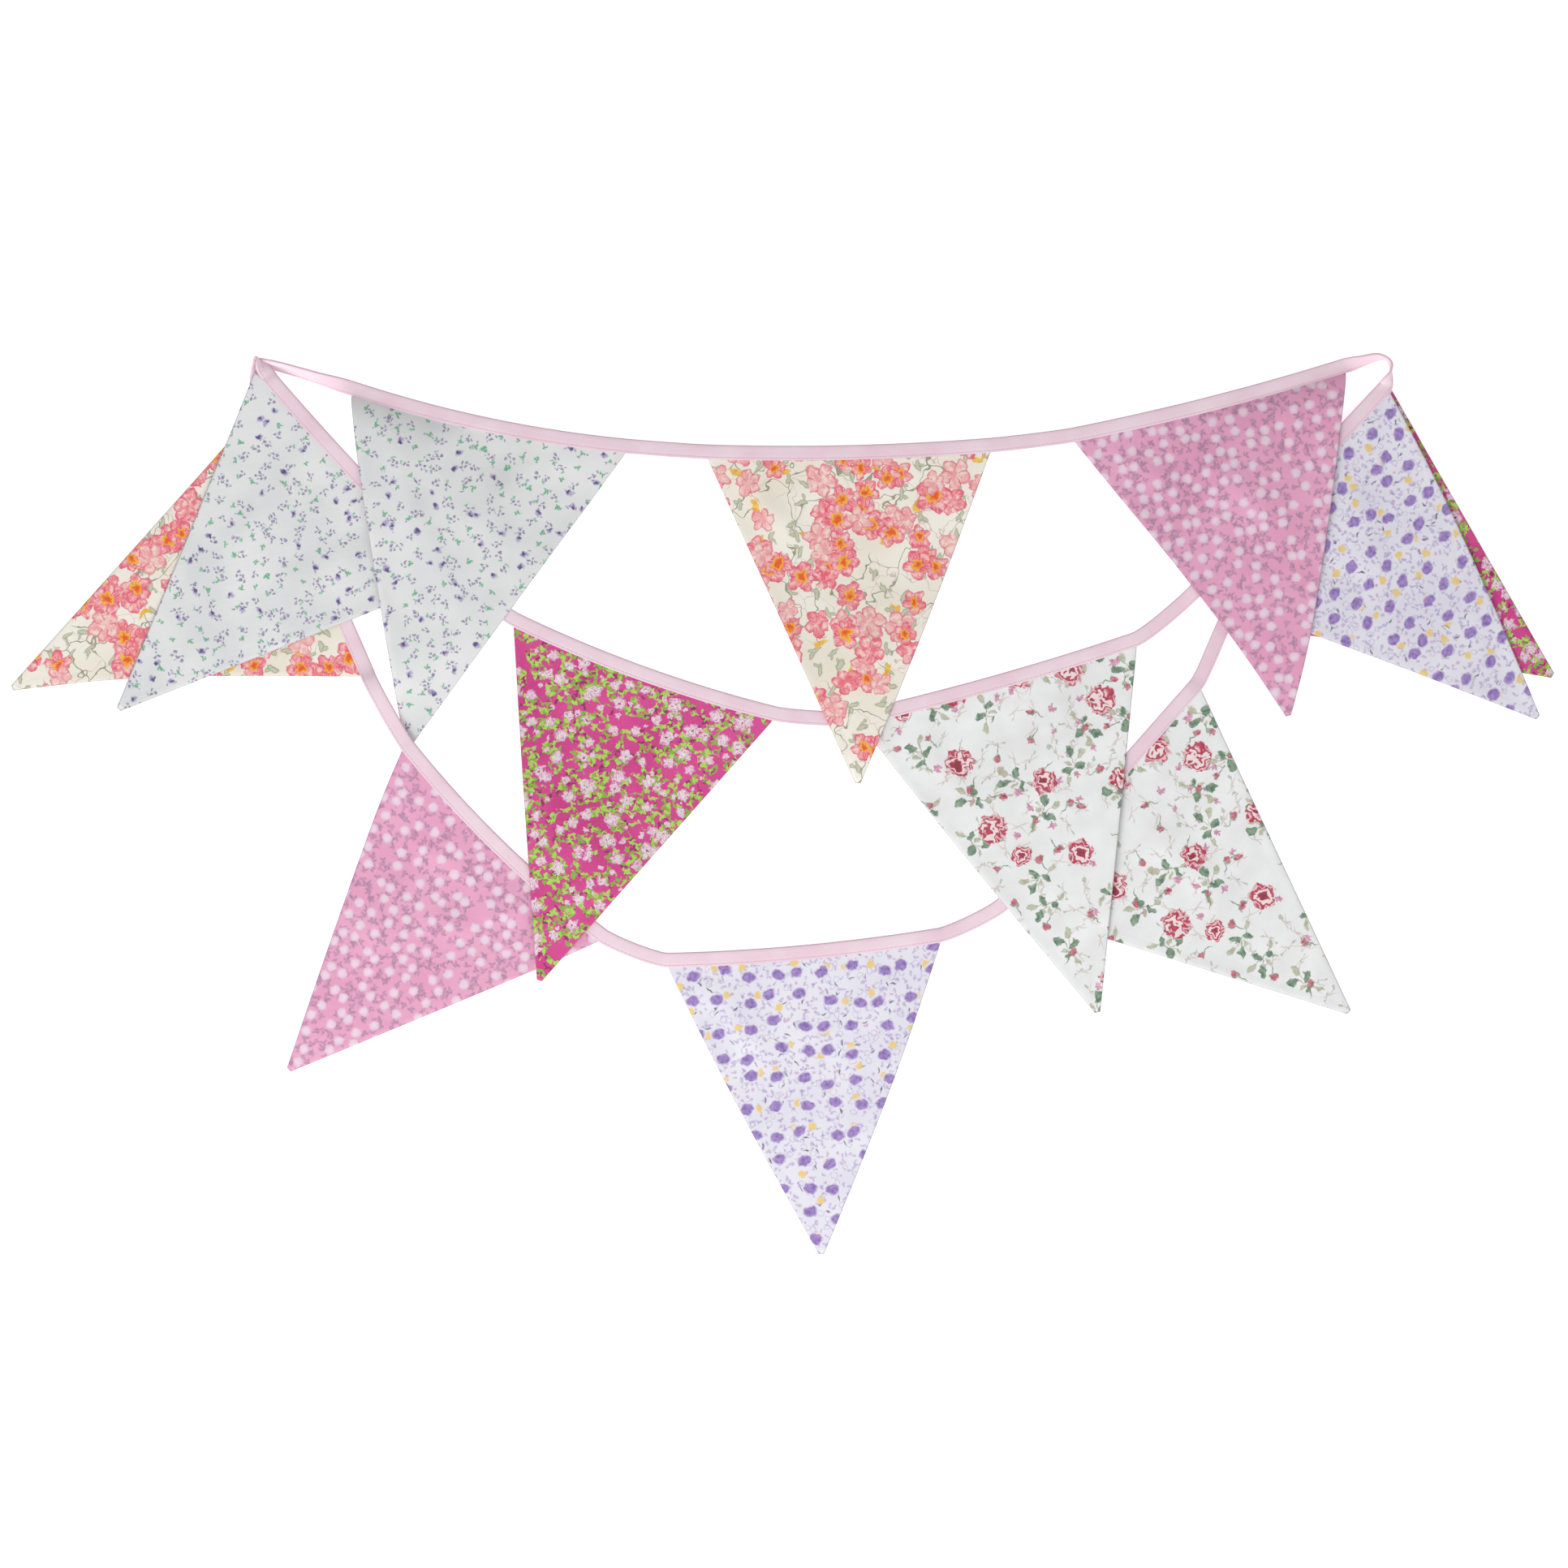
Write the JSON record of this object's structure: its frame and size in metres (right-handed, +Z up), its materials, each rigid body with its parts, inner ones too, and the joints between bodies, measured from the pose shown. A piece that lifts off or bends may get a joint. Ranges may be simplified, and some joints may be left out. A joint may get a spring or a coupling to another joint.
{
  "type": "fabric bunting",
  "caption": "Bunting of triangular printed cotton pennants with their heads sewn into one folded tape, laid out flat in three swags.",
  "frame": {"origin": "centre of the whole laid bunting's box, on the plane it lies on", "axes": "+X along the swags from the first pennant to the third, +Y from the pennants' tips towards the tape, +Z up off the surface"},
  "size_m": [0.986, 0.5757, 0.0145],
  "materials": {
    "pink_tape": "pale pink plain-weave cotton bias tape, matt",
    "sprig_print": "cool white cotton printed with small violet sprigs and green leaves, matt",
    "blossom_print": "cream cotton printed with coral and orange blossoms on fine stems, matt",
    "dot_print": "mid pink cotton printed with small round white blooms and mauve sprigs, matt",
    "berry_print": "pale lilac cotton printed with purple berries and yellow dots, matt",
    "spray_print": "white cotton printed with red rose sprays and green leaves, matt",
    "rose_print": "magenta cotton printed with small pale roses and lime leaves, matt"
  },
  "bodies": {
    "root": {"bias_tape": "pink_tape", "pennant_01_sprig": "sprig_print", "pennant_02_blossom": "blossom_print", "pennant_03_dot": "dot_print", "pennant_04_berry": "berry_print", "pennant_05_spray": "spray_print", "pennant_06_rose": "rose_print", "pennant_07_sprig": "sprig_print", "pennant_08_blossom": "blossom_print", "pennant_09_dot": "dot_print", "pennant_10_berry": "berry_print", "pennant_11_spray": "spray_print", "pennant_12_rose": "rose_print"}
  },
  "joints": []
}
